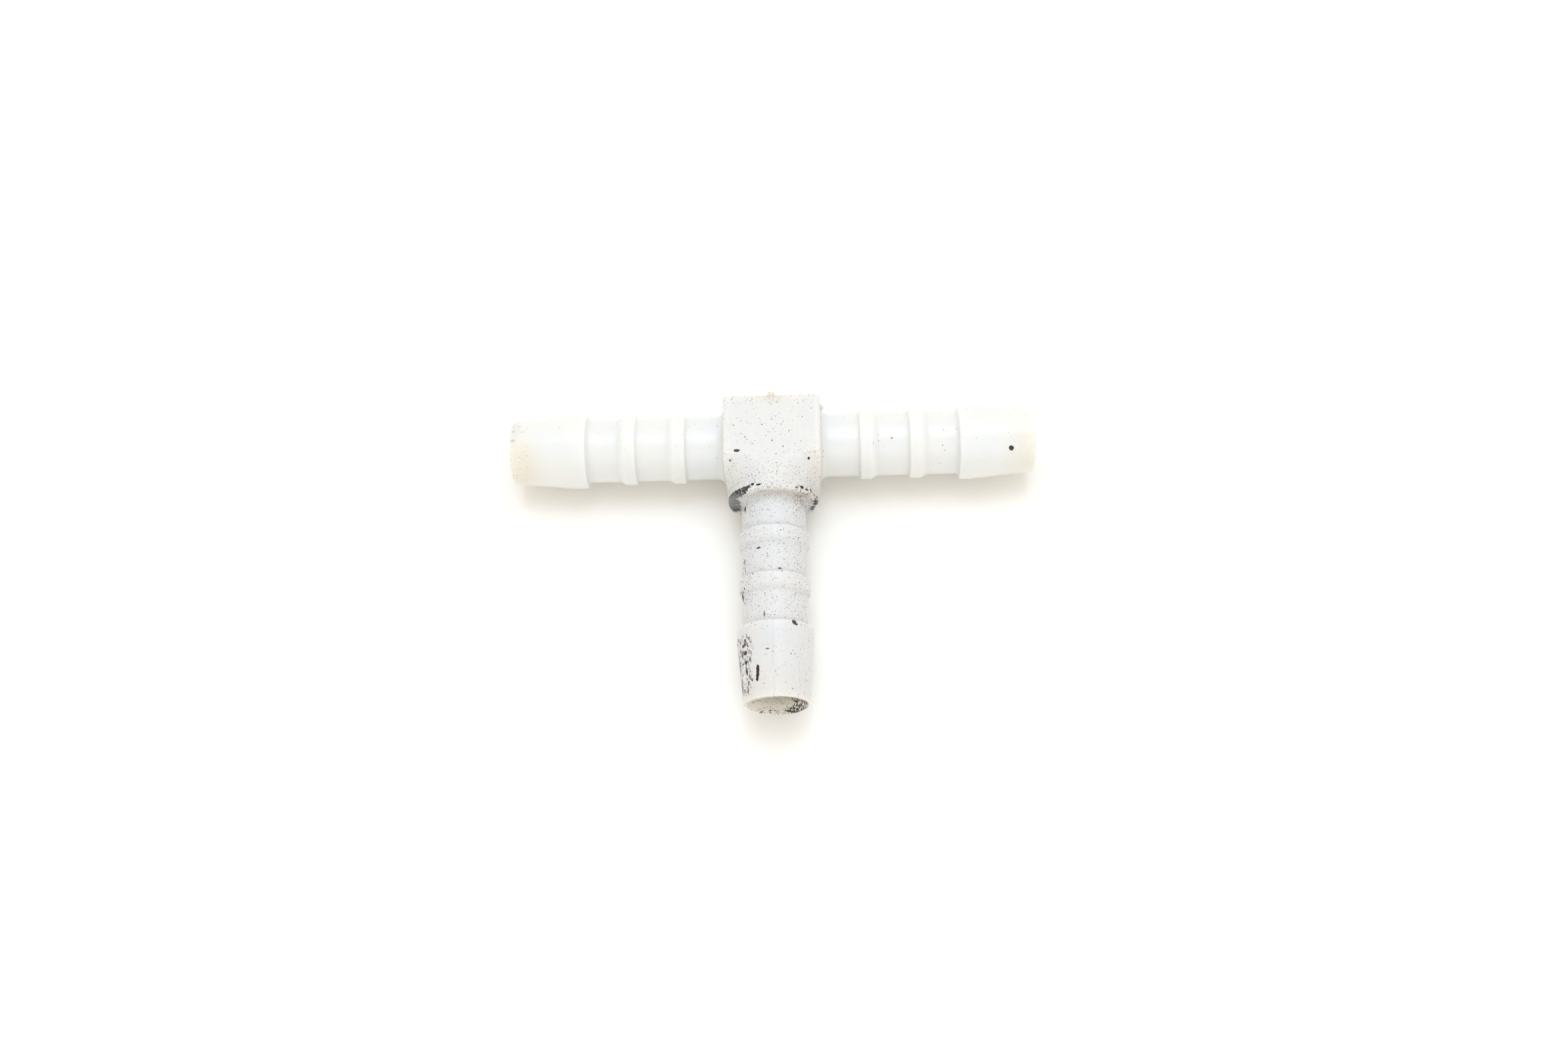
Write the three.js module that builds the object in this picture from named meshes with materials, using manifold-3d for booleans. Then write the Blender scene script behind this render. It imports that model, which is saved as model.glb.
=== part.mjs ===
// A one-piece moulded barbed tee hose connector, in millimetres.
// +X runs along the straight run, +Y points away from the branch, and +Z is up as the tee lies flat.
import * as THREE from 'three';
import { mergeVertices } from 'three/addons/utils/BufferGeometryUtils.js';
import Module from 'manifold-3d';

// Lengths along the legs, measured from the crossing of the two axes.
const RUN_REACH = 33.0;
const BRANCH_REACH = 34.3;
const RUN_BARB_STARTS = [11.0, 17.25, 23.45];
const BRANCH_BARB_STARTS = [12.3, 18.45, 24.75];

// Radii shared by the three spigots.
const ROOT_RADIUS = 4.0;
const SMALL_BARB_RADIUS = 4.43;
const END_BARB_RADIUS = 4.73;
const TIP_RADIUS = 4.02;
const LIP_OUTER_RADIUS = 3.88;
const LIP_INNER_RADIUS = 3.55;
const BORE_RADIUS = 3.2;

// Axial sizes of one barb and of the mouth.
const SMALL_CREST = 1.5;
const SMALL_SLOPE = 0.75;
const END_CREST = 1.65;
const TIP_CHAMFER = 0.2;
const LEAD_IN = 1.3;

// The hub that the run passes through: a square block at the back and a round collar in front.
// From the crease on, its top and underside arch more and more until they meet in the collar's circle.
const HUB_HALF_WIDTH = 6.1;
const HUB_HALF_HEIGHT = 5.7;
const HUB_BACK = 4.65;
const HUB_EDGE_ROUND = 0.45;
const HUB_CREASE = -3.3;
const ARCH_POWER = 1.2;
const ARCH_SPREAD = 1.15;
const COLLAR_START = -6.6;
const COLLAR_FRONT = -8.2;
const COLLAR_EDGE_ROUND = 0.5;
const COLLAR_RADIUS = 5.65;

// Fillets where the spigots leave the hub, and how far out the hub carries them.
const RUN_FILLET = 1.2;
const BRANCH_FILLET = 0.48;
const RUN_JOIN = 7.6;
const BRANCH_JOIN = 9.0;

// The stub that the moulding gate leaves behind.
const GATE_RADIUS = 0.5;
const GATE_PROUD = 0.55;
const GATE_HEIGHT = 5.15;

// The crossing of the axes, seen from the middle of the footprint that the tee lies on.
const CROSSING = [0, (BRANCH_REACH - HUB_BACK - GATE_PROUD) / 2, HUB_HALF_HEIGHT];

const AROUND = 64;
const ROUND_STEPS = 6;
const SECTION_STEPS = 12;
const PLASTIC_COLOUR = 0xdedfd9;

const wasm = await Module();
wasm.setup();

function toSolid(geometry) {
  const bare = geometry.clone();
  bare.deleteAttribute('normal');
  bare.deleteAttribute('uv');
  const merged = mergeVertices(bare, 1e-5);
  const mesh = new wasm.Mesh({
    numProp: 3,
    vertProperties: new Float32Array(merged.attributes.position.array),
    triVerts: new Uint32Array(merged.index.array),
  });
  return new wasm.Manifold(mesh);
}

function toNode(name, solid) {
  const mesh = solid.translate(CROSSING).getMesh();
  const geometry = new THREE.BufferGeometry();
  geometry.setAttribute('position', new THREE.BufferAttribute(new Float32Array(mesh.vertProperties), 3));
  geometry.setIndex(new THREE.BufferAttribute(new Uint32Array(mesh.triVerts), 1));
  geometry.computeVertexNormals();
  const material = new THREE.MeshStandardMaterial({ color: PLASTIC_COLOUR, roughness: 0.42, metalness: 0 });
  const node = new THREE.Mesh(geometry, material);
  node.name = name;
  return node;
}

// Points of a quarter round from angle `from` to angle `to`, both in degrees.
function arc(cx, cy, radius, from, to, steps) {
  const points = [];
  for (let i = 0; i <= steps; i += 1) {
    const angle = THREE.MathUtils.degToRad(from + ((to - from) * i) / steps);
    points.push([cx + radius * Math.cos(angle), cy + radius * Math.sin(angle)]);
  }
  return points;
}

// A closed body of revolution about its own Y axis; the outline lists [radius, axial position].
function revolve(outline) {
  const closed = [...outline, outline[0]];
  const geometry = new THREE.LatheGeometry(
    closed.map(([radius, along]) => new THREE.Vector2(radius, along)),
    AROUND,
  );
  return toSolid(geometry);
}

// A spigot that starts on a flat face at `base`, with two small barbs and one end barb.
function spigot(base, starts, reach) {
  const [first, second, last] = starts;
  const outline = [
    [BORE_RADIUS, base],
    [ROOT_RADIUS, base],
  ];
  for (const start of [first, second]) {
    outline.push([ROOT_RADIUS, start]);
    outline.push([SMALL_BARB_RADIUS, start]);
    outline.push([SMALL_BARB_RADIUS, start + SMALL_CREST]);
    outline.push([ROOT_RADIUS, start + SMALL_CREST + SMALL_SLOPE]);
  }
  outline.push([ROOT_RADIUS, last]);
  outline.push([END_BARB_RADIUS, last]);
  outline.push([END_BARB_RADIUS, last + END_CREST]);
  outline.push([TIP_RADIUS, reach - TIP_CHAMFER]);
  outline.push([LIP_OUTER_RADIUS, reach]);
  outline.push([LIP_INNER_RADIUS, reach]);
  outline.push([BORE_RADIUS, reach - LEAD_IN]);
  return revolve(outline);
}

// The filleted start of a spigot, from inside the hub out to a flat face at `end`.
function root(wall, fillet, end) {
  return revolve([
    [BORE_RADIUS / 2, BORE_RADIUS / 2],
    ...arc(ROOT_RADIUS + fillet, wall + fillet, fillet, 270, 180, ROUND_STEPS),
    [ROOT_RADIUS, end],
    [BORE_RADIUS / 2, end],
  ]);
}

// One section of the hub across the branch, counter-clockwise in XZ.
// `turned` goes from 0 at the crease, where the top is flat, to 1 at the collar, where it is a half circle.
function hubSection(along, inset, turned) {
  const mix = THREE.MathUtils.lerp;
  const halfWidth = mix(HUB_HALF_WIDTH, COLLAR_RADIUS, turned ** 2) - inset;
  const halfHeight = mix(HUB_HALF_HEIGHT, COLLAR_RADIUS, turned) - inset;
  const edge = Math.max(HUB_EDGE_ROUND * (1 - turned) - inset, 0);
  const crown = halfHeight * turned ** ARCH_POWER;
  const reach = halfWidth * mix(ARCH_SPREAD, 1, turned);
  const top = [];
  for (let i = -SECTION_STEPS; i <= SECTION_STEPS; i += 1) {
    const x = halfWidth * Math.sin((Math.PI / 2) * (i / SECTION_STEPS));
    const past = Math.max(Math.abs(x) - halfWidth + edge, 0);
    const arch = crown * (1 - Math.sqrt(Math.max(1 - (x / reach) ** 2, 0)));
    const rounding = edge - Math.sqrt(Math.max(edge ** 2 - past ** 2, 0));
    top.push([x, along, Math.max(halfHeight - arch - rounding, 0.01)]);
  }
  const underside = top.map(([x, y, z]) => [x, y, -z]);
  return [...underside, ...top.reverse()];
}

// A closed body through sections of equal point count, listed from the back to the front.
function loft(sections) {
  const count = sections[0].length;
  const last = sections.length - 1;
  const points = sections.flat();
  const backCentre = points.push([0, sections[0][0][1], 0]) - 1;
  const frontCentre = points.push([0, sections[last][0][1], 0]) - 1;
  const triangles = [];
  for (let k = 0; k < count; k += 1) {
    const next = (k + 1) % count;
    for (let i = 0; i < last; i += 1) {
      const here = i * count;
      const ahead = here + count;
      triangles.push(here + k, here + next, ahead + next);
      triangles.push(here + k, ahead + next, ahead + k);
    }
    triangles.push(backCentre, next, k);
    triangles.push(frontCentre, last * count + k, last * count + next);
  }
  const geometry = new THREE.BufferGeometry();
  geometry.setAttribute('position', new THREE.BufferAttribute(new Float32Array(points.flat()), 3));
  geometry.setIndex(triangles);
  return toSolid(geometry);
}

function hubBody() {
  const sections = [];
  for (const [low, ahead] of arc(0, 0, HUB_EDGE_ROUND, 90, 0, ROUND_STEPS)) {
    sections.push(hubSection(HUB_BACK - HUB_EDGE_ROUND + ahead, HUB_EDGE_ROUND - low, 0));
  }
  for (let i = 0; i <= SECTION_STEPS; i += 1) {
    const turned = (i / SECTION_STEPS) ** 1.5;
    sections.push(hubSection(THREE.MathUtils.lerp(HUB_CREASE, COLLAR_START, turned), 0, turned));
  }
  for (const [low, ahead] of arc(0, 0, COLLAR_EDGE_ROUND, 0, 90, ROUND_STEPS)) {
    sections.push(hubSection(COLLAR_FRONT + COLLAR_EDGE_ROUND - ahead, COLLAR_EDGE_ROUND - low, 1));
  }
  return loft(sections);
}

function hub() {
  const gateLength = 2 * GATE_PROUD;
  const gate = new THREE.CylinderGeometry(0.8 * GATE_RADIUS, GATE_RADIUS, gateLength, 16);
  gate.translate(0, HUB_BACK + GATE_PROUD - gateLength / 2, GATE_HEIGHT);
  const runBore = new THREE.CylinderGeometry(BORE_RADIUS, BORE_RADIUS, 4 * RUN_JOIN, AROUND);
  runBore.rotateZ(Math.PI / 2);
  const branchBore = new THREE.CylinderGeometry(BORE_RADIUS, BORE_RADIUS, 2 * BRANCH_JOIN, AROUND);
  branchBore.translate(0, -BRANCH_JOIN, 0);
  const runRoot = root(HUB_HALF_WIDTH, RUN_FILLET, RUN_JOIN);
  return hubBody()
    .add(toSolid(gate))
    .add(runRoot.rotate([0, 0, 90]))
    .add(runRoot.rotate([0, 0, -90]))
    .add(root(-COLLAR_FRONT, BRANCH_FILLET, BRANCH_JOIN).rotate([0, 0, 180]))
    .subtract(toSolid(runBore))
    .subtract(toSolid(branchBore));
}

const runSpigot = spigot(RUN_JOIN, RUN_BARB_STARTS, RUN_REACH);
const branchSpigot = spigot(BRANCH_JOIN, BRANCH_BARB_STARTS, BRANCH_REACH);

const part = new THREE.Group();
part.name = 'barbed_tee';
part.add(toNode('hub', hub()));
part.add(toNode('left_run_spigot', runSpigot.rotate([0, 0, 90])));
part.add(toNode('right_run_spigot', runSpigot.rotate([0, 0, -90])));
part.add(toNode('branch_spigot', branchSpigot.rotate([0, 0, 180])));

export default part;
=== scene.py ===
"""A used, barbed plastic tee for flexible hose, lying on a pale sheet in soft studio light."""
import math
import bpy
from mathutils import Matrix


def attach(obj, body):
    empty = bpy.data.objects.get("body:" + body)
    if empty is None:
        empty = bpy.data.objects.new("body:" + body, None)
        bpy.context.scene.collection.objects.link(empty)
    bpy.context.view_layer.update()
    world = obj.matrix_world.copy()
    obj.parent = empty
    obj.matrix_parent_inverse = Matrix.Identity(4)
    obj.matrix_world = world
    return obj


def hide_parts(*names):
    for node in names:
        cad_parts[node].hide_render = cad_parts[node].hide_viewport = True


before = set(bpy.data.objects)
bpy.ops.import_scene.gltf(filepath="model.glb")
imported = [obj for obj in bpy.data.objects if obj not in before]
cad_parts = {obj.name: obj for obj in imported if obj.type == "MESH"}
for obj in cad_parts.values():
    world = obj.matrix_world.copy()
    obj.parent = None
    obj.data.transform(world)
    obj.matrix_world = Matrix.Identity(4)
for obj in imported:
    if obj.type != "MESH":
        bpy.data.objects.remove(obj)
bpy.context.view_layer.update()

from types import SimpleNamespace

import bpy
import numpy as np
from mathutils import Matrix, Vector

MM = 0.001

# ---------------------------------------------------------------- sizes, in millimetres
# Local positions count from the crossing of the two axes: x along the run, y away from the branch.
CROSSING = np.array([0.0, 14.55, 5.7])

# Radii of the spigots, and how far their mouths are from the crossing.
ROOT = 4.0
SMALL_BARB = 4.43
END_BARB = 4.73
TIP = 4.02
LIP = 3.57
BORE = 3.2
RUN_REACH = 33.0
BRANCH_REACH = 34.3

# Where the three barbs of each leg begin, and the lengths along one barb and in the mouth.
RUN_BARBS = (11.0, 17.25, 23.45)
BRANCH_BARBS = (12.3, 18.45, 24.75)
SMALL_CREST = 1.5
SMALL_SLOPE = 0.75
END_CREST = 1.65
LEAD_IN = 1.3

# Roundings of the turned profile, and how far the steps and the tip lean.
STEP_LEAN = 0.08
SMALL_FOOT = 0.3
SMALL_EDGE = 0.28
SLOPE_ROUND = 0.9
END_FOOT = 0.45
END_EDGE = 0.36
END_SHOULDER = 3.0
TIP_DRAFT = 0.03
TIP_ROUND = 0.32
LIP_ROUND = 0.08
THROAT_ROUND = 1.5

# The hub: a square block behind the crease, whose top and underside arch into the collar in front.
HUB_WIDE = 6.1
HUB_HIGH = 5.7
HUB_BACK = 4.65
HUB_EDGE = 0.45
HUB_CREASE = -3.3
ARCH_POWER = 1.2
ARCH_SPREAD = 1.15
COLLAR = 5.65
COLLAR_START = -6.6
COLLAR_FRONT = -8.2
COLLAR_EDGE = 0.5
RUN_FILLET = 1.0
BRANCH_FILLET = 0.6
BORE_EDGE = 0.15

# The torn gate stub, and the scrap of flash on a back corner.
GATE_RADIUS = 0.42
GATE_START = 3.8
GATE_PROUD = 0.55
GATE_HEIGHT = 5.15
GATE_SLANT = 0.12
GATE_ROUND = 0.12
GATE_TORN = 0.05
BURR_PLACE = (6.3, 4.2, 2.6)
BURR_SIZE = (0.3, 0.3, 0.6)
BURR_THICKNESS = 0.26
BURR_BLEND = 0.12

# Where the hub's surface hands over to the turned surface of each spigot.
RUN_SEAM = 7.6
BRANCH_SEAM = 9.25
SEAM_GAP = 0.2

# How finely the surfaces are divided.
HUB_CELL = 0.14
AIR_BEHIND = 0.4
AIR_ABOVE = 0.35
AROUND = 160
LONGEST_STEP = 0.32
ARC_STEP = 15
SETTLING_ROUNDS = 5


# ---------------------------------------------------------------- distance fields for the hub
def round_max(a, b, radius):
    """What two shapes share, with its edge rounded."""
    u, v = np.maximum(a + radius, 0), np.maximum(b + radius, 0)
    return np.minimum(np.maximum(a, b), -radius) + np.hypot(u, v)


def round_min(a, b, radius):
    """Two shapes joined, with a round fillet in the corner."""
    u, v = np.maximum(radius - a, 0), np.maximum(radius - b, 0)
    return np.maximum(np.minimum(a, b), radius) - np.hypot(u, v)


def soft_min(a, b, width):
    """Two shapes joined, blended without a sharp corner."""
    h = np.maximum(width - np.abs(a - b), 0) / width
    return np.minimum(a, b) - h * h * width / 4


def hub_section(x, z, turned):
    """A flat-topped section where turned is 0, whose top and underside arch into a circle at 1."""
    wide = HUB_WIDE + (COLLAR - HUB_WIDE) * turned**2
    high = HUB_HIGH + (COLLAR - HUB_HIGH) * turned
    crown = np.maximum(high * turned**ARCH_POWER, 1e-4)
    reach = wide * (ARCH_SPREAD + (1 - ARCH_SPREAD) * turned)
    arch = np.sqrt(np.maximum(1 - (x / reach) ** 2, 1e-3))
    slope = crown * x / (reach**2 * arch)
    flatter = (np.abs(z) - high + crown * (1 - arch)) / np.hypot(1, slope)
    up = np.maximum(np.abs(z) - high + crown, 0) / crown
    size = np.maximum(np.hypot(x / reach, up), 1e-6)
    rounder = (size - 1) * size / np.maximum(np.hypot(x / reach**2, up / crown), 1e-6)
    top = flatter + (rounder - flatter) * ramp(turned, 0.25, 0.6)
    return round_max(top, np.abs(x) - wide, np.maximum(HUB_EDGE * (1 - turned), 1e-3))


def gate_stub(x, y, z):
    torn = GATE_TORN * np.sin(9 * x + 1.0) * np.sin(11 * z + 2.0)
    across = np.hypot(x, z - GATE_HEIGHT) - GATE_RADIUS + torn
    end = y - (HUB_BACK + GATE_PROUD) + GATE_SLANT * (x + 0.4)
    return round_max(across, np.maximum(end, GATE_START - y), GATE_ROUND)


def flash_burr(x, y, z):
    """A scrap of flash left on one back corner of the hub."""
    sides = zip((x, y, z), BURR_PLACE, BURR_SIZE)
    u, v, w = [(value - middle) / size for value, middle, size in sides]
    lumps = 0.18 * np.sin(8 * z + 0.5) * np.sin(7 * y)
    return (np.sqrt(u * u + v * v + w * w) - 1 + lumps) * BURR_THICKNESS


def hub_field(x, y, z):
    """Signed distance to the hub and the first stretch of each spigot, bores cut out."""
    turned = np.clip((HUB_CREASE - y) / (HUB_CREASE - COLLAR_START), 0, 1)
    body = hub_section(x, z, turned)
    body = round_max(body, y - HUB_BACK, HUB_EDGE)
    body = round_max(body, COLLAR_FRONT - y, COLLAR_EDGE)
    body = round_min(body, np.hypot(y, z) - ROOT, RUN_FILLET)
    body = round_min(body, np.maximum(np.hypot(x, z) - ROOT, y), BRANCH_FILLET)
    body = round_min(body, gate_stub(x, y, z), GATE_ROUND)
    body = soft_min(body, flash_burr(x, y, z), BURR_BLEND)
    bores = np.minimum(np.hypot(y, z) - BORE, np.maximum(np.hypot(x, z) - BORE, y))
    return round_max(body, -bores, BORE_EDGE)


def hub_gradient(points):
    """The field's slope at each point, by central differences."""
    step = 1e-3
    sides = []
    for axis in range(3):
        shift = np.zeros(3)
        shift[axis] = step
        ahead, behind = points + shift, points - shift
        sides.append(hub_field(*ahead.T) - hub_field(*behind.T))
    return np.stack(sides, 1) / (2 * step)


def surface_net(field, grids):
    """Vertices, their cell numbers, and outward quads of a field's zero surface."""
    inside = field < 0
    shape = tuple(n - 1 for n in field.shape)
    windows = [(i, j, k) for i in (0, 1) for j in (0, 1) for k in (0, 1)]

    def window(array, corner):
        return array[tuple(slice(c, c + n) for c, n in zip(corner, shape))]

    count = sum(window(inside, corner).astype(np.int8) for corner in windows)
    cells = np.argwhere((count > 0) & (count < 8))
    index = np.full(shape, -1)
    index[tuple(cells.T)] = np.arange(len(cells))
    total, hits = np.zeros((len(cells), 3)), np.zeros(len(cells))
    for axis in range(3):
        for corner in windows:
            if corner[axis]:
                continue
            near = cells + corner
            far = near.copy()
            far[:, axis] += 1
            a, b = field[tuple(near.T)], field[tuple(far.T)]
            crosses = (a < 0) != (b < 0)
            part = np.where(crosses, a / np.where(a == b, 1, a - b), 0)
            for other in range(3):
                low = grids[other][near[:, other]]
                high = grids[other][far[:, other]]
                total[:, other] += np.where(crosses, low + part * (high - low), 0)
            hits += crosses
    quads = []
    for axis in range(3):
        first, second = (axis + 1) % 3, (axis + 2) % 3
        lead = [slice(None)] * 3
        trail = [slice(None)] * 3
        lead[axis], trail[axis] = slice(0, -1), slice(1, None)
        for cut in (first, second):
            lead[cut] = trail[cut] = slice(1, -1)
        start, end = inside[tuple(lead)], inside[tuple(trail)]
        edges = np.argwhere(start != end)
        leaving = start[tuple(edges.T)]
        edges[:, first] += 1
        edges[:, second] += 1
        ring = []
        for back_first, back_second in ((1, 1), (0, 1), (0, 0), (1, 0)):
            cell = edges.copy()
            cell[:, first] -= back_first
            cell[:, second] -= back_second
            ring.append(index[tuple(cell.T)])
        ring = np.stack(ring, 1)
        ring[~leaving] = ring[~leaving][:, ::-1]
        quads.append(ring)
    return total / hits[:, None], cells, np.concatenate(quads)


# ---------------------------------------------------------------- turned profiles for the spigots
def rounded_profile(corners):
    """Points and outward normals along a path of (along, radius, rounding) corners."""
    places = [np.array(corner[:2]) for corner in corners]
    rows = []

    def add(point, direction):
        rows.append((*point, -direction[1], direction[0]))

    def line(start, end, direction):
        pieces = max(1, math.ceil(np.linalg.norm(end - start) / LONGEST_STEP))
        for i in range(pieces + 1):
            add(start + (end - start) * i / pieces, direction)

    here = places[0]
    for i in range(1, len(corners)):
        into = (places[i] - places[i - 1]) / np.linalg.norm(places[i] - places[i - 1])
        rounding = corners[i][2]
        if i == len(corners) - 1 or rounding == 0:
            line(here, places[i], into)
            here = places[i]
            continue
        out = (places[i + 1] - places[i]) / np.linalg.norm(places[i + 1] - places[i])
        turn = math.atan2(into[0] * out[1] - into[1] * out[0], float(into @ out))
        reach = rounding * math.tan(abs(turn) / 2)
        start = places[i] - into * reach
        line(here, start, into)
        sense = math.copysign(1, turn)
        centre = start + sense * rounding * np.array([-into[1], into[0]])
        steps = max(2, math.ceil(abs(turn) / math.radians(ARC_STEP)))
        for k in range(1, steps + 1):
            angle = turn * k / steps
            c, s = math.cos(angle), math.sin(angle)
            direction = np.array([c * into[0] - s * into[1], s * into[0] + c * into[1]])
            point = centre - sense * rounding * np.array([-direction[1], direction[0]])
            if k < steps:
                add(point, direction)
            else:
                here = point
    kept = [rows[0]]
    for row in rows[1:]:
        if math.dist(row[:2], kept[-1][:2]) > 1e-4:
            kept.append(row)
    return np.array(kept)


def spigot_profile(seam, barbs, reach):
    """The turned outline from the hub's seam along the outside, round the lip and back down the bore."""
    corners = [(seam + SEAM_GAP, ROOT, 0)]
    for start in barbs[:2]:
        corners += [
            (start - STEP_LEAN, ROOT, SMALL_FOOT),
            (start + STEP_LEAN, SMALL_BARB, SMALL_EDGE),
            (start + SMALL_CREST, SMALL_BARB, SLOPE_ROUND),
            (start + SMALL_CREST + SMALL_SLOPE, ROOT, SLOPE_ROUND),
        ]
    last = barbs[2]
    corners += [
        (last - STEP_LEAN, ROOT, END_FOOT),
        (last + STEP_LEAN, END_BARB, END_EDGE),
        (last + END_CREST, END_BARB, END_SHOULDER),
        (reach, TIP - TIP_DRAFT, TIP_ROUND),
        (reach, LIP, LIP_ROUND),
        (reach - LEAD_IN, BORE, THROAT_ROUND),
        (seam + SEAM_GAP, BORE, 0),
    ]
    return rounded_profile(corners)


def zip_rings(ring, ring_angles, other, other_angles, flip):
    """Triangles between two rings whose vertices are sorted by angle but differ in number."""
    a, b = len(ring), len(other)
    faces = []
    i = 0
    shift = int(np.argmin(np.abs(other_angles - ring_angles[0])))
    j = 0
    turn = 2 * math.pi

    def angle_a(n):
        return ring_angles[n % a] + turn * (n // a)

    def angle_b(n):
        m = n + shift
        return other_angles[m % b] + turn * (m // b)

    while i < a or j < b:
        step_a = j >= b or (i < a and angle_a(i + 1) <= angle_b(j + 1))
        here, there = ring[i % a], other[(j + shift) % b]
        if step_a:
            face = (here, ring[(i + 1) % a], there)
            i += 1
        else:
            face = (here, other[(j + 1 + shift) % b], there)
            j += 1
        faces.append(face[::-1] if flip else face)
    return faces


# Each leg's axis and the two directions across it, right-handed.
LEGS = {
    "right": ((1, 0, 0), (0, 1, 0), (0, 0, 1), RUN_SEAM, RUN_BARBS, RUN_REACH),
    "left": ((-1, 0, 0), (0, 0, 1), (0, 1, 0), RUN_SEAM, RUN_BARBS, RUN_REACH),
    "branch": ((0, -1, 0), (1, 0, 0), (0, 0, 1), BRANCH_SEAM, BRANCH_BARBS, BRANCH_REACH),
}


def grid_line(low, high):
    """Even places from low to high, at most one cell apart."""
    return np.linspace(low, high, math.ceil((high - low) / HUB_CELL) + 1)


def build_tee():
    """Points, normals and faces of the whole moulding, in local millimetres."""
    half = HUB_CELL / 2
    grids = [
        grid_line(-RUN_SEAM - half, RUN_SEAM + half),
        grid_line(-BRANCH_SEAM - half, HUB_BACK + GATE_PROUD + AIR_BEHIND),
        grid_line(-HUB_HIGH - AIR_ABOVE, HUB_HIGH + AIR_ABOVE),
    ]
    field = hub_field(*np.meshgrid(*grids, indexing="ij"))
    points, cells, quads = surface_net(field, grids)
    for _ in range(SETTLING_ROUNDS):
        slope = hub_gradient(points)
        size = np.maximum((slope * slope).sum(1), 0.2)
        move = slope * (hub_field(*points.T) / size)[:, None]
        points = points - np.clip(move, -half, half)
    normals = hub_gradient(points)
    ends = {
        "right": cells[:, 0] == len(grids[0]) - 2,
        "left": cells[:, 0] == 0,
        "branch": cells[:, 1] == 0,
    }
    faces = [tuple(q) for q in quads]
    all_points, all_normals = [points], [normals]
    total = len(points)
    for name, (axis, across, up, seam, barbs, reach) in LEGS.items():
        axis, across, up = np.array(axis), np.array(across), np.array(up)
        profile = spigot_profile(seam, barbs, reach)
        theta = np.arange(AROUND) * 2 * math.pi / AROUND
        radial = np.cos(theta)[:, None] * across + np.sin(theta)[:, None] * up
        spots = profile[:, 0, None, None] * axis + profile[:, 1, None, None] * radial
        leans = profile[:, 2, None, None] * axis + profile[:, 3, None, None] * radial
        rings = total + np.arange(len(profile) * AROUND).reshape(len(profile), AROUND)
        nxt = np.roll(rings, -1, 1)
        bands = np.stack([rings[:-1], nxt[:-1], nxt[1:], rings[1:]], -1).reshape(-1, 4)
        faces += [tuple(q) for q in bands]
        edge = np.flatnonzero(ends[name])
        for ring, inner in ((rings[0], False), (rings[-1], True)):
            distance = np.hypot(points[edge] @ across, points[edge] @ up)
            mine = edge[(distance < (BORE + ROOT) / 2) == inner]
            angle = np.arctan2(points[mine] @ up, points[mine] @ across) % (2 * math.pi)
            order = np.argsort(angle)
            mine, angle = mine[order], angle[order]
            radius = BORE if inner else ROOT
            out = np.cos(angle)[:, None] * across + np.sin(angle)[:, None] * up
            points[mine] = seam * axis + radius * out
            faces += zip_rings(list(mine), angle, list(ring), theta, inner)
        all_points.append(spots.reshape(-1, 3))
        all_normals.append(leans.reshape(-1, 3))
        total += rings.size
    normals = np.concatenate(all_normals)
    normals /= np.linalg.norm(normals, axis=1)[:, None]
    return np.concatenate(all_points), normals, faces


# ---------------------------------------------------------------- where the wear, the dirt, the painted shade and the painted warm light lie
# The witness line runs along the top of the branch, a little left of its middle.
WITNESS_X = -0.17


def bump_at(value, centre, width):
    """1 at a centre, falling to 0 on both sides."""
    return np.exp(-(((value - centre) / width) ** 2))


def ramp(value, low, high):
    """0 below one value and 1 above another, smooth between."""
    t = np.clip((value - low) / (high - low), 0, 1)
    return t * t * (3 - 2 * t)


def near(points, centre, sizes):
    """1 at a centre, falling to 0 around it."""
    offset = (points - np.array(centre)) / np.array(sizes)
    return np.exp(-(offset * offset).sum(1))


def regions(points):
    """Distances and regions that the dirt and painted light maps share; a region is 1 inside and 0
    outside.
    """
    x, y, z = points.T
    reach = np.hypot(x, z)
    inner_run = (np.hypot(y, z) < BORE + 0.3) & (np.abs(x) < 31.5)
    inner_branch = (reach < BORE + 0.4) & (y < 0) & (y > -34.2)
    branch = ramp(-y, 8.3, 9.3)
    run = ramp(np.abs(x), 5.95, 6.5)
    return SimpleNamespace(
        points=points,
        x=x,
        y=y,
        z=z,
        aside=np.abs(x),
        reach=reach,
        inside=inner_run | inner_branch,
        branch=branch,
        run=run,
        hub=(1 - branch) * (1 - run),
        rim=ramp(-y, 7.0, 7.7) * (1 - ramp(-y, 8.8, 9.8)) * (1 - run),
        upper=ramp(z, -1.5, 1.0),
        lower=ramp(-z, 1.5, 3.0),
    )


def speck_map(at):
    """How thickly the small black specks lie."""
    specks = 0.008 + at.hub * (0.13 + 0.45 * ramp(-at.y, 3.0, 7.2))
    specks += at.hub * 0.3 * bump_at(at.y, 4.2, 0.5)
    specks += at.hub * 0.7 * bump_at(at.y, -3.35, 0.2) * ramp(at.x, 0.0, 2.5) * at.upper
    specks += at.rim * (0.7 + 1.4 * ramp(at.x, 0.5, 4.0))
    clean_end = 1 - 0.8 * ramp(-at.y, 24.0, 26.0)
    specks += at.branch * (0.32 + 0.5 * ramp(at.aside, 1.2, 3.8)) * clean_end
    specks += 0.45 * near(at.points, (-3.4, -20.0, 2.1), (1.0, 2.0, 1.6))
    specks += 0.12 * at.run * bump_at(at.x, -32.4, 0.7)
    return 0.5 * np.where(at.inside, 0.6 * (at.y < -3) + 0.1, specks)


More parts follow.
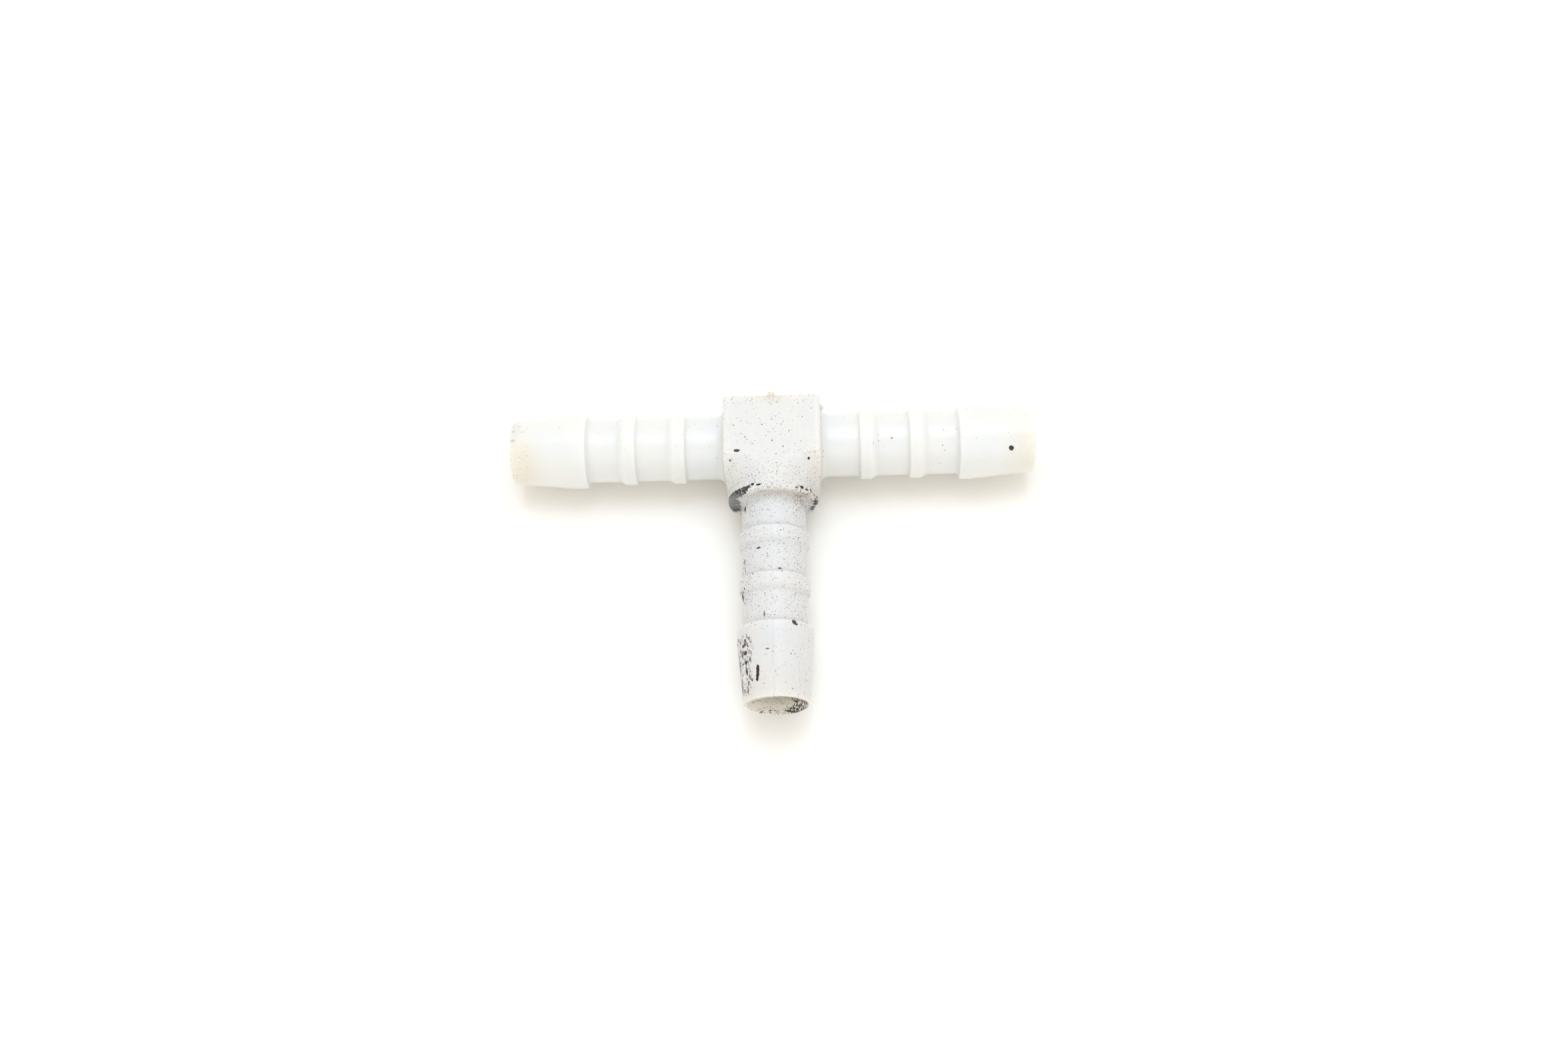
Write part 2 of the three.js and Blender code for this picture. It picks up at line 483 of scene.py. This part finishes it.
def residue_and_lip_shade_map(at):
    """Rubber left in a crescent on the collar, on its right edge and in the branch's mouth, and painted
    shade on the lower lip of the mouth.
    """
    around = np.degrees(np.arctan2(at.z, at.x)) % 360
    shelf = ramp(-at.y, 7.2, 7.5) * (1 - ramp(-at.y, 8.5, 8.9)) * (1 - at.run)
    shelf *= 1 - ramp(-at.y - 0.05 * (around - 118), 7.65, 7.85)
    crescent = ramp(around, 110, 122) * (1 - ramp(around, 194, 204))
    inner_edge = 5.1 - 1.1 * ramp(around, 138, 176) + 0.3 * ramp(around, 180, 200)
    residue = shelf * crescent * ramp(at.reach, inner_edge - 0.5, inner_edge + 0.5)
    residue *= 0.76 + 0.1 * ramp(around, 140, 160)
    residue += 0.66 * near(at.points, (5.3, -8.1, 0.6), (0.35, 0.45, 0.9))
    residue += 0.8 * near(at.points, (4.8, -8.2, -1.0), (0.45, 0.45, 0.9))
    residue += 0.32 * at.rim * ramp(at.x, 1.5, 3.5) * at.upper
    mouth = ramp(-at.y, 31.6, 33.2) * (at.reach < 3.85)
    residue += 0.44 * mouth * ramp(at.x, 0.4, 2.6) * (1 - ramp(at.z, 0.2, 2.2))
    # Painted shade: the lower lip of the branch's mouth is darkened to stand in for the shadow under it.
    residue += 0.36 * ramp(-at.y, 33.4, 33.9) * (at.reach < 3.75) * at.lower
    return residue


def streak_map(at):
    """Where short strokes were drawn along the left side of the branch."""
    streaks = ramp(-at.y, 25.8, 27.2) * (1 - ramp(-at.y, 32.8, 33.8)) * (at.reach > 3.7)
    streaks *= 1.5 * ramp(-at.x, 2.6, 3.3) * ramp(at.z, -0.6, 0.6)
    streaks += 0.55 * near(at.points, (-3.75, -20.3, 1.3), (0.5, 0.9, 0.9))
    streaks += 0.4 * near(at.points, (-3.9, -17.5, 0.8), (0.5, 1.2, 0.8))
    return streaks


def grime_map(at):
    """Grey film from handling, strongest on the branch and at the foot of its barbs."""
    grime = 0.88 * at.branch + 0.62 * at.hub + 0.1 * at.hub * ramp(-at.y, 3.4, 6.4)
    grime += 0.35 * at.branch * ramp(at.aside, 2.2, 3.9)
    grime += 0.3 * at.hub * ramp(-at.y, 4.0, 7.5) * ramp(at.aside, 3.0, 5.5)
    for start in BRANCH_BARBS:
        grime += 0.35 * at.branch * bump_at(-at.y, start - 0.15, 0.3)
    grime += 0.8 * ramp(-at.x, 31.2, 32.6) * ramp(at.y, -1.5, 1.5)
    return grime * ~at.inside


def warm_map(at):
    """Yellowing at the tips and on the hub, a warm tint in the bores, and a painted warm cast under the
    run that stands in for light through the plastic and off the sheet.
    """
    left_more = 0.65 + 0.35 * (at.x < 0)
    warm = ramp(at.aside, 27.5, 32.4) * left_more * (0.3 + ramp(-at.y, -1.5, 2.5))
    warm += 0.5 * at.branch * ramp(-at.y, 29.5, 33.8)
    warm += 0.9 * at.hub * near(at.points, (0.0, 4.6, 5.5), (1.8, 1.0, 1.0))
    warm += 0.35 * at.hub * ramp(at.y, 3.2, 4.4)
    warm += 0.4 * at.hub * ramp(at.x, 3.5, 6.0) * ramp(-at.y, 1.0, 4.0)
    # Painted warm light: the run's underside is tinted yellow as if lit through the plastic and from the
    # sheet below.
    warm += 0.85 * at.run * ramp(-at.z, 0.3, 3.0) + 0.3 * at.hub
    return np.where(at.inside, 0.6, warm)


def rust_map(at):
    """Orange-brown traces on the collar, the gate, the mouth, the witness line and the tips."""
    rust = near(at.points, (3.5, -8.3, 2.9), (1.5, 0.9, 1.3))
    rust += 0.35 * near(at.points, (0.0, -8.2, 4.8), (3.5, 0.6, 0.7))
    rust += 0.4 * bump_at(at.y, -34.15, 0.16) * (at.reach < 3.95) * at.upper
    rust += 0.8 * near(at.points, (0.0, 4.9, 5.3), (0.9, 0.7, 0.8))
    rust += 0.3 * at.hub * near(at.points, (0.0, 4.2, 5.6), (1.4, 0.6, 0.7))
    rust += 0.2 * at.branch * bump_at(at.x, WITNESS_X, 0.35) * bump_at(at.y, -30.0, 3.2) * at.upper
    rust += 0.14 * ramp(at.aside, 31.8, 32.9) * (0.6 + 0.4 * (at.x < 0)) * at.upper
    return rust


# Each kind of dirt is painted on the mesh under its own name; the residue map also holds painted shade
# on the lower lip of the branch's mouth, and the warm map a painted warm cast under the run.
DIRT_AND_PAINTED_LIGHT = {
    "specks": speck_map,
    "residue": residue_and_lip_shade_map,
    "streaks": streak_map,
    "grime": grime_map,
    "warm": warm_map,
    "rust": rust_map,
}


def dirt_and_painted_light_maps(points):
    """How much of each kind of dirt, painted shade and painted warm light lies at each local point, from
    0 to 1.
    """
    at = regions(points)
    return {name: np.clip(paint(at), 0, 1).astype(np.float32) for name, paint in DIRT_AND_PAINTED_LIGHT.items()}


# Single marks that the eye picks out: centre and half sizes in local millimetres, and how dark.
DARK_MARKS = (
    ((-4.35, -3.02, 5.7), (0.40, 0.22, 0.5), 1.0),
    ((4.55, -4.18, 5.4), (0.16, 0.16, 0.5), 1.0),
    ((-5.2, -4.15, 5.3), (0.15, 0.14, 0.6), 0.75),
    ((-5.6, -5.4, 4.9), (0.14, 0.20, 0.6), 0.75),
    ((0.05, -1.75, 5.7), (0.11, 0.12, 0.4), 0.75),
    ((-2.43, -7.36, 5.0), (0.22, 0.20, 0.4), 1.0),
    ((-1.73, -7.55, 5.3), (0.30, 0.16, 0.4), 1.0),
    ((3.61, -7.6, 4.28), (0.26, 0.22, 0.3), 1.0),
    ((4.20, -7.7, 3.71), (0.28, 0.13, 0.3), 0.9),
    ((2.98, -7.8, 4.74), (0.22, 0.11, 0.3), 0.8),
    ((4.67, -7.5, 3.09), (0.14, 0.20, 0.3), 0.8),
    ((-3.5, -9.35, 1.9), (0.14, 0.34, 0.4), 1.0),
    ((-1.84, -15.2, 3.55), (0.30, 0.14, 0.4), 0.9),
    ((0.74, -18.1, 3.93), (0.26, 0.12, 0.4), 0.9),
    ((-2.54, -18.6, 3.2), (0.20, 0.18, 0.5), 0.85),
    ((3.0, -13.9, 2.7), (0.13, 0.14, 0.4), 0.8),
    ((-3.74, -16.3, 1.6), (0.25, 0.40, 0.4), 0.6),
    ((-3.65, -20.1, 1.6), (0.26, 0.42, 0.5), 0.9),
    ((-3.9, -20.8, 0.9), (0.3, 0.55, 0.5), 0.85),
    ((-2.1, -25.0, 3.7), (0.16, 0.12, 0.4), 0.9),
    ((2.25, -25.1, 3.9), (0.36, 0.32, 0.5), 0.95),
    ((2.5, -25.35, 3.8), (0.28, 0.16, 0.5), 0.95),
    ((-0.92, -28.5, 4.4), (0.26, 0.10, 0.4), 0.7),
    ((-2.12, -30.75, 3.9), (0.21, 0.50, 0.5), 1.0),
    ((-2.14, -31.35, 3.9), (0.22, 0.60, 0.5), 1.0),
    ((-2.20, -31.95, 3.9), (0.21, 0.50, 0.5), 1.0),
    ((-3.76, -27.5, 2.5), (0.30, 0.26, 0.4), 0.9),
    ((-3.62, -28.45, 2.7), (0.36, 0.28, 0.4), 0.95),
    ((-3.55, -29.6, 2.8), (0.20, 0.22, 0.4), 1.0),
    ((-3.48, -30.8, 2.85), (0.13, 0.55, 0.4), 0.95),
    ((-3.22, -32.45, 3.1), (0.20, 0.34, 0.4), 0.85),
    ((-4.3, -28.6, 0.9), (0.20, 1.30, 0.5), 0.5),
    ((-4.05, -32.2, 1.1), (0.20, 1.20, 0.5), 0.5),
    ((-1.25, -23.9, 3.8), (0.10, 0.42, 0.4), 0.75),
    ((-1.5, -32.65, 4.2), (0.3, 0.14, 0.4), 0.55),
    ((3.45, -34.15, 0.8), (0.26, 0.30, 0.7), 0.9),
    ((29.84, -2.56, 3.3), (0.36, 0.32, 0.5), 1.0),
    ((15.0, -1.0, 3.88), (0.12, 0.10, 0.3), 0.8),
    ((21.3, -2.0, 3.5), (0.09, 0.08, 0.3), 0.7),
    ((21.5, -0.1, 4.0), (0.08, 0.08, 0.3), 0.6),
    ((-32.6, 1.3, 3.7), (0.28, 0.16, 0.5), 0.2),
    ((-32.6, -0.1, 3.9), (0.26, 0.20, 0.5), 0.3),
    ((-31.4, 1.1, 4.0), (0.40, 0.08, 0.4), 0.15),
)


# ---------------------------------------------------------------- node helpers
class Graph:
    """Small helpers that keep a node tree readable."""

    def __init__(self, name):
        self.material = bpy.data.materials.new(name)
        self.material.use_nodes = True
        self.tree = self.material.node_tree
        self.shader = self.tree.nodes["Principled BSDF"]

    def put(self, socket, value):
        if isinstance(value, bpy.types.NodeSocket):
            self.tree.links.new(value, socket)
        elif value is not None:
            socket.default_value = value

    def math(self, operation, a, b=None, c=None, clamp=False):
        node = self.tree.nodes.new("ShaderNodeMath")
        node.operation, node.use_clamp = operation, clamp
        for socket, value in zip(node.inputs, (a, b, c)):
            self.put(socket, value)
        return node.outputs[0]

    def vector(self, operation, a, b=None):
        node = self.tree.nodes.new("ShaderNodeVectorMath")
        node.operation = operation
        self.put(node.inputs[0], a)
        self.put(node.inputs[1], b)
        return node.outputs["Value" if operation == "LENGTH" else "Vector"]

    def step(self, value, low, high, bottom=0.0, top=1.0):
        node = self.tree.nodes.new("ShaderNodeMapRange")
        node.interpolation_type = "SMOOTHSTEP"
        for socket, item in zip(node.inputs, (value, low, high, bottom, top)):
            self.put(socket, item)
        return node.outputs[0]

    def mix(self, factor, a, b):
        node = self.tree.nodes.new("ShaderNodeMix")
        node.data_type = "RGBA"
        self.put(node.inputs[0], factor)
        self.put(node.inputs[6], a)
        self.put(node.inputs[7], b)
        return node.outputs[2]

    def noise(self, place, scale, detail=3.0, rough=0.5):
        node = self.tree.nodes.new("ShaderNodeTexNoise")
        self.put(node.inputs["Vector"], place)
        self.put(node.inputs["Scale"], scale)
        self.put(node.inputs["Detail"], detail)
        self.put(node.inputs["Roughness"], rough)
        return node.outputs[0]

    def cells(self, place, scale):
        node = self.tree.nodes.new("ShaderNodeTexVoronoi")
        self.put(node.inputs["Vector"], place)
        self.put(node.inputs["Scale"], scale)
        split = self.tree.nodes.new("ShaderNodeSeparateColor")
        self.put(split.inputs[0], node.outputs["Color"])
        return node.outputs["Distance"], *split.outputs[:3]

    def bend(self, place, scale, amount):
        """The same place, pushed about a little so that shapes lose their regular outline."""
        node = self.tree.nodes.new("ShaderNodeTexNoise")
        self.put(node.inputs["Vector"], place)
        self.put(node.inputs["Scale"], scale)
        push = self.vector("SUBTRACT", node.outputs["Color"], (0.5, 0.5, 0.5))
        push = self.vector("SCALE", push)
        push.node.inputs["Scale"].default_value = amount
        return self.vector("ADD", place, push)

    def painted(self, name):
        node = self.tree.nodes.new("ShaderNodeAttribute")
        node.attribute_name = name
        return node.outputs["Fac"]

    def local(self):
        """Object position in local millimetres, and its three parts."""
        place = self.tree.nodes.new("ShaderNodeTexCoord").outputs["Object"]
        place = self.vector("SCALE", place)
        place.node.inputs["Scale"].default_value = 1 / MM
        place = self.vector("SUBTRACT", place, tuple(CROSSING))
        split = self.tree.nodes.new("ShaderNodeSeparateXYZ")
        self.put(split.inputs[0], place)
        return place, split.outputs


def colour(red, green, blue):
    return (red, green, blue, 1.0)


def scatter(g, place, density, scale, reach, share):
    """Round specks scattered through space, each with its own size and darkness."""
    distance, chance, size, strength = g.cells(place, scale)
    limit = g.math("MULTIPLY_ADD", size, reach, 0.45 * reach)
    dot = g.step(g.math("DIVIDE", distance, limit), 1.15, 0.7)
    present = g.math("LESS_THAN", chance, g.math("MULTIPLY", density, share))
    dark = g.math("MULTIPLY_ADD", g.math("MULTIPLY", strength, strength), 0.75, 0.25)
    return g.math("MULTIPLY", g.math("MULTIPLY", dot, present), dark)


def largest(g, layers):
    """The strongest of several layers at each place."""
    total = layers[0]
    for layer in layers[1:]:
        total = g.math("MAXIMUM", total, layer)
    return total


# For each layer of specks: cells per millimetre, the largest speck in cells, and how many show.
SPECK_SIZES = ((1.2, 0.12, 0.9), (2.5, 0.17, 1.5), (4.2, 0.26, 2.4), (6.0, 0.30, 1.6))
STROKE_SIZES = ((1.7, 0.36, 0.9), (3.0, 0.42, 1.0), (5.2, 0.42, 1.2))

# Colours of the plastic and of what lies on it, with the painted shade and warm light.
MILKY = colour(0.735, 0.745, 0.735)
CREAMY = colour(0.76, 0.755, 0.725)
YELLOWING_AND_WARM_LIGHT = colour(0.68, 0.60, 0.44)
FILM_GREY = colour(0.42, 0.42, 0.46)
RUST_BROWN = colour(0.46, 0.28, 0.14)
GREASE_BROWN = colour(0.13, 0.06, 0.035)
PARTING_DIRT_AND_OUTLINE_SHADE_GREY = colour(0.20, 0.195, 0.19)
SPECK_BLACK = colour(0.05, 0.045, 0.045)
STROKE_MAROON = colour(0.055, 0.024, 0.024)
RUBBER_AND_LIP_SHADE_BLACK = colour(0.014, 0.010, 0.010)
RUBBER_BLUE = colour(0.08, 0.09, 0.13)
RUBBER_SLATE = colour(0.15, 0.155, 0.165)
MARK_BLACK = colour(0.022, 0.020, 0.020)
MARK_MAROON = colour(0.035, 0.008, 0.008)


def surface_inputs(g):
    """What the layers of the plastic share: places, noises, and the painted dirt, shade and warm light.
    """
    place, (x, y, z) = g.local()
    across = g.math("ADD", g.math("MULTIPLY", x, x), g.math("MULTIPLY", z, z))
    return SimpleNamespace(
        place=place,
        x=x,
        y=y,
        z=z,
        radius=g.math("SQRT", across),
        height=g.math("ABSOLUTE", z),
        wobble=g.noise(place, 3.0, 4.0),
        fine=g.noise(place, 9.0, 3.0, 0.6),
        bent=g.bend(place, 4.0, 0.16),
        **{name: g.painted(name) for name in DIRT_AND_PAINTED_LIGHT},
    )


def offset_from(g, place, centre, sizes):
    """Distance from a centre, counted in its own sizes."""
    offset = g.vector("DIVIDE", g.vector("SUBTRACT", place, centre), sizes)
    return g.vector("LENGTH", offset)


def resin_layer(g, at):
    """Milky resin with faint cloudy changes, yellowed in places, with a painted warm cast on the run's
    underside.
    """
    broad = g.noise(at.place, 0.16, 2.0)
    shade = g.mix(g.step(broad, 0.35, 0.65), MILKY, CREAMY)
    stain_and_warm_light = g.math("MULTIPLY", at.warm, g.step(at.wobble, 0.25, 0.75, 0.55, 1.0))
    return g.mix(g.math("MULTIPLY", stain_and_warm_light, 0.5), shade, YELLOWING_AND_WARM_LIGHT)


def film_layer(g, at, shade):
    """Grey film from handling, finely mottled."""
    film = g.math("MULTIPLY", at.grime, g.step(at.fine, 0.3, 0.72, 0.45, 1.0))
    return g.mix(g.math("MULTIPLY", film, 0.45), shade, FILM_GREY), film


def brown_layer(g, at, shade):
    """Orange-brown traces, and brown grease along the upper inner edge of the branch's mouth."""
    brown = g.math("MULTIPLY", at.rust, g.step(at.wobble, 0.36, 0.62))
    shade = g.mix(g.math("MULTIPLY", brown, 0.6), shade, RUST_BROWN)
    edge = g.step(g.math("ABSOLUTE", g.math("SUBTRACT", at.radius, 3.64)), 0.28, 0.16)
    edge = g.math("MULTIPLY", edge, g.step(at.y, -33.75, -34.05))
    edge = g.math("MULTIPLY", edge, g.step(at.z, 0.2, 1.6))
    edge = g.math("MULTIPLY", edge, g.step(at.x, -3.4, 2.5, 0.35, 1.0))
    edge = g.math("MULTIPLY", edge, g.step(at.wobble, 0.3, 0.5, 0.5, 1.0))
    return g.mix(edge, shade, GREASE_BROWN)


def parting_dirt_and_outline_shade_layer(g, at, shade):
    """Faint, broken dark line along the parting line on the outside of the branch, which is its outline
    from above: partly dirt, partly painted shade of that outline.
    """
    seam = g.math("MULTIPLY", g.step(at.height, 0.34, 0.04), g.step(at.y, -8.9, -9.6))
    seam = g.math("MULTIPLY", seam, g.step(at.radius, 3.75, 3.9))
    seam = g.math("MULTIPLY", seam, g.step(g.noise(at.place, 1.3, 3.0), 0.4, 0.62, 0.06, 0.55))
    return g.mix(seam, shade, PARTING_DIRT_AND_OUTLINE_SHADE_GREY)


def speck_layer(g, at, shade):
    """Embedded dark specks in several sizes."""
    spots = largest(g, [scatter(g, at.bent, at.specks, *row) for row in SPECK_SIZES])
    return g.mix(g.math("MULTIPLY", spots, 0.92), shade, SPECK_BLACK)


def stroke_layer(g, at, shade):
    """Short lengthwise strokes of dark rubber on the side of the branch."""
    drawn = g.vector("MULTIPLY", at.bent, (1.0, 0.5, 1.0))
    clumps = g.step(g.noise(at.place, 0.9, 2.0), 0.34, 0.5, 0.25, 1.0)
    clumped = g.math("MULTIPLY", at.streaks, clumps)
    scuff = largest(g, [scatter(g, drawn, clumped, *row) for row in STROKE_SIZES])
    scuff = g.math("MULTIPLY", g.step(scuff, 0.15, 0.45), g.step(at.fine, 0.38, 0.46))
    return g.mix(g.math("MULTIPLY", scuff, 0.92), shade, STROKE_MAROON), scuff


def rubber_and_lip_shade_layer(g, at, shade):
    """Ragged black rubber on the collar and in the mouth, with dark blue and slate patches, and the same
    black as painted shade on the mouth's lower lip.
    """
    broken = g.math("ADD", g.math("MULTIPLY", at.wobble, 0.75), g.math("MULTIPLY", at.fine, 0.75))
    broken = g.math("MULTIPLY_ADD", broken, 3.0, -2.82)
    rubber = g.step(g.math("MULTIPLY_ADD", at.residue, 1.25, broken), 0.0, 0.14)
    rubber = g.math("MULTIPLY", rubber, g.step(at.residue, 0.1, 0.3))
    patch = g.step(g.math("MULTIPLY_ADD", at.wobble, 0.8, at.residue), 1.22, 1.0)
    patch = g.math("MULTIPLY", patch, g.step(at.y, -12.0, -10.0))
    rubber_and_lip_shade_colour = g.mix(patch, RUBBER_AND_LIP_SHADE_BLACK, RUBBER_BLUE)
    slate = offset_from(g, at.bent, (-4.75, -8.2, 1.3), (1.0, 0.75, 1.9))
    slate = g.step(g.math("MULTIPLY_ADD", at.fine, 1.2, slate), 1.8, 1.4)
    rubber_and_lip_shade_colour = g.mix(slate, rubber_and_lip_shade_colour, RUBBER_SLATE)
    return g.mix(g.math("MULTIPLY", rubber, 0.96), shade, rubber_and_lip_shade_colour), rubber


def mark_layer(g, at, shade):
    """The single marks, ragged at the edge, and black except towards the branch's mouth."""
    ragged = g.math("MULTIPLY_ADD", at.wobble, 1.1, -0.55)
    ragged = g.math("ADD", ragged, g.math("MULTIPLY_ADD", at.fine, 0.6, -0.3))
    layers = []
    for centre, sizes, strength in DARK_MARKS:
        away = g.math("ADD", offset_from(g, at.place, centre, sizes), ragged)
        layers.append(g.step(away, 1.1, 0.8, 0.0, strength))
    marks = largest(g, layers)
    maroon = g.step(at.y, -18.0, -22.0)
    return g.mix(marks, shade, g.mix(maroon, MARK_BLACK, MARK_MAROON)), marks


def relief(g, at, rubber, marks):
    """Orange peel, witness and parting lines, a chattered patch, and dirt that stands proud, the lip's
    painted shade with it.
    """
    witness = g.step(g.math("ABSOLUTE", g.math("SUBTRACT", at.x, WITNESS_X)), 0.16, 0.02)
    witness = g.math("MULTIPLY", witness, g.step(at.y, -9.6, -10.4))
    witness = g.math("MULTIPLY", witness, g.step(at.z, 3.0, 3.4))
    parting = g.step(at.height, 0.09, 0.01)
    chatter = g.noise(g.vector("MULTIPLY", at.bent, (0.7, 3.2, 0.7)), 1.0, 2.0)
    worn = offset_from(g, at.place, (0.8, -29.5, 4.3), (2.2, 3.2, 1.5))
    chatter = g.math("MULTIPLY", chatter, g.step(worn, 1.1, 0.5))
    peel = g.math("MULTIPLY", g.noise(at.place, 1.1, 2.0), 0.5)
    height = g.math("ADD", g.math("MULTIPLY", at.fine, 0.12), peel)
    heights = ((witness, 0.9), (parting, 0.2), (chatter, 1.2), (rubber, 1.0), (marks, 0.8))
    for layer, amount in heights:
        height = g.math("MULTIPLY_ADD", layer, amount, height)
    bump = g.tree.nodes.new("ShaderNodeBump")
    bump.inputs["Strength"].default_value = 0.5
    bump.inputs["Distance"].default_value = 0.05 * MM
    g.put(bump.inputs["Height"], height)
    return bump.outputs[0]


def tee_material():
    g = Graph("natural_plastic")
    at = surface_inputs(g)
    shade, film = film_layer(g, at, resin_layer(g, at))
    shade = brown_layer(g, at, shade)
    shade = parting_dirt_and_outline_shade_layer(g, at, shade)
    shade = speck_layer(g, at, shade)
    shade, scuff = stroke_layer(g, at, shade)
    shade, rubber = rubber_and_lip_shade_layer(g, at, shade)
    shade, marks = mark_layer(g, at, shade)
    g.put(g.shader.inputs["Base Color"], shade)

    # Satin where clean, matt where dirty and on the lip's painted shade.
    dirty = g.math("MAXIMUM", g.math("MULTIPLY", film, 0.5), g.math("MAXIMUM", rubber, scuff))
    gloss = g.math("MULTIPLY_ADD", at.fine, 0.08, 0.17)
    g.put(g.shader.inputs["Roughness"], g.math("MULTIPLY_ADD", dirty, 0.3, gloss, clamp=True))
    g.put(g.shader.inputs["Normal"], relief(g, at, rubber, marks))

    g.shader.inputs["IOR"].default_value = 1.5
    g.shader.inputs["Specular IOR Level"].default_value = 0.32
    g.shader.inputs["Subsurface Weight"].default_value = 0.8
    g.shader.inputs["Subsurface Radius"].default_value = (1.0, 0.92, 0.8)
    g.shader.inputs["Subsurface Scale"].default_value = 1.6 * MM
    return g.material


def make_tee():
    points, normals, faces = build_tee()
    mesh = bpy.data.meshes.new("barbed_tee")
    mesh.from_pydata(((points + CROSSING) * MM).tolist(), [], faces)
    mesh.validate()
    mesh.polygons.foreach_set("use_smooth", np.ones(len(mesh.polygons), dtype=bool))
    for name, values in dirt_and_painted_light_maps(points).items():
        layer = mesh.attributes.new(name, "FLOAT", "POINT")
        layer.data.foreach_set("value", values)
    mesh.normals_split_custom_set_from_vertices(normals.tolist())
    tee = bpy.data.objects.new("barbed_tee", mesh)
    bpy.context.collection.objects.link(tee)
    mesh.materials.append(tee_material())
    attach(tee, "root")
    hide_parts("hub", "left_run_spigot", "right_run_spigot", "branch_spigot")


# ---------------------------------------------------------------- stage, light and camera
# Half the width of the sheet in metres, and the colours of the sheet and of the studio around it.
FLOOR_HALF = 4.0
FLOOR_COLOUR = colour(0.90, 0.885, 0.85)
SKY_COLOUR = colour(1.0, 0.95, 0.88)

# Each light's name, place in metres, diameter, power and tint.
LIGHTS = (
    ("key", (0.01, 0.14, 0.42), 0.36, 0.80, (0.70, 0.83, 1.0)),
    ("front_fill", (0.12, -0.42, 0.40), 0.5, 0.52, (0.72, 0.85, 1.0)),
    ("sparkle", (0.0, 0.10, 0.45), 0.06, 0.06, (0.9, 0.95, 1.0)),
)
LIGHT_AIM = (0, 0, 0.005)

# The camera's place in local millimetres, its angles in degrees and its lens in millimetres.
CAMERA_PLACE = np.array([5.15, -94.84, 203.19])
CAMERA_TILT = 67.43
CAMERA_ROLL = -3.89
CAMERA_TURN = -2.65
SENSOR = 36
FOCAL = 40.36


def make_floor():
    mesh = bpy.data.meshes.new("floor")
    square = ((-1, -1), (1, -1), (1, 1), (-1, 1))
    corners = [(FLOOR_HALF * x, FLOOR_HALF * y, 0) for x, y in square]
    mesh.from_pydata(corners, [], [(0, 1, 2, 3)])
    g = Graph("pale_sheet")
    g.shader.inputs["Base Color"].default_value = FLOOR_COLOUR
    g.shader.inputs["Roughness"].default_value = 0.6
    g.shader.inputs["Specular IOR Level"].default_value = 0.2
    mesh.materials.append(g.material)
    floor = bpy.data.objects.new("floor", mesh)
    bpy.context.collection.objects.link(floor)


def area_light(name, place, size, power, tint):
    lamp = bpy.data.lights.new(name, "AREA")
    lamp.shape, lamp.size, lamp.energy, lamp.color = "DISK", size, power, tint
    light = bpy.data.objects.new(name, lamp)
    light.location = place
    light.rotation_euler = (Vector(LIGHT_AIM) - Vector(place)).to_track_quat("-Z", "Y").to_euler()
    bpy.context.collection.objects.link(light)


def make_light():
    for light in LIGHTS:
        area_light(*light)
    world = bpy.data.worlds.new("studio")
    world.use_nodes = True
    world.node_tree.nodes["Background"].inputs[0].default_value = SKY_COLOUR
    world.node_tree.nodes["Background"].inputs[1].default_value = 1.0
    bpy.context.scene.world = world


def make_camera():
    data = bpy.data.cameras.new("camera")
    data.sensor_width, data.lens = SENSOR, FOCAL
    data.clip_start, data.clip_end = 0.01, 5
    camera = bpy.data.objects.new("camera", data)
    turn = Matrix.Rotation(math.radians(-CAMERA_TURN), 4, "Z")
    tilt = Matrix.Rotation(math.radians(90 - CAMERA_TILT), 4, "X")
    roll = Matrix.Rotation(math.radians(CAMERA_ROLL), 4, "Z")
    place = Matrix.Translation((CAMERA_PLACE + CROSSING) * MM)
    camera.matrix_world = place @ turn @ tilt @ roll
    bpy.context.collection.objects.link(camera)
    bpy.context.scene.camera = camera


bpy.context.scene.view_settings.view_transform = "Standard"
make_tee()
make_floor()
make_light()
make_camera()
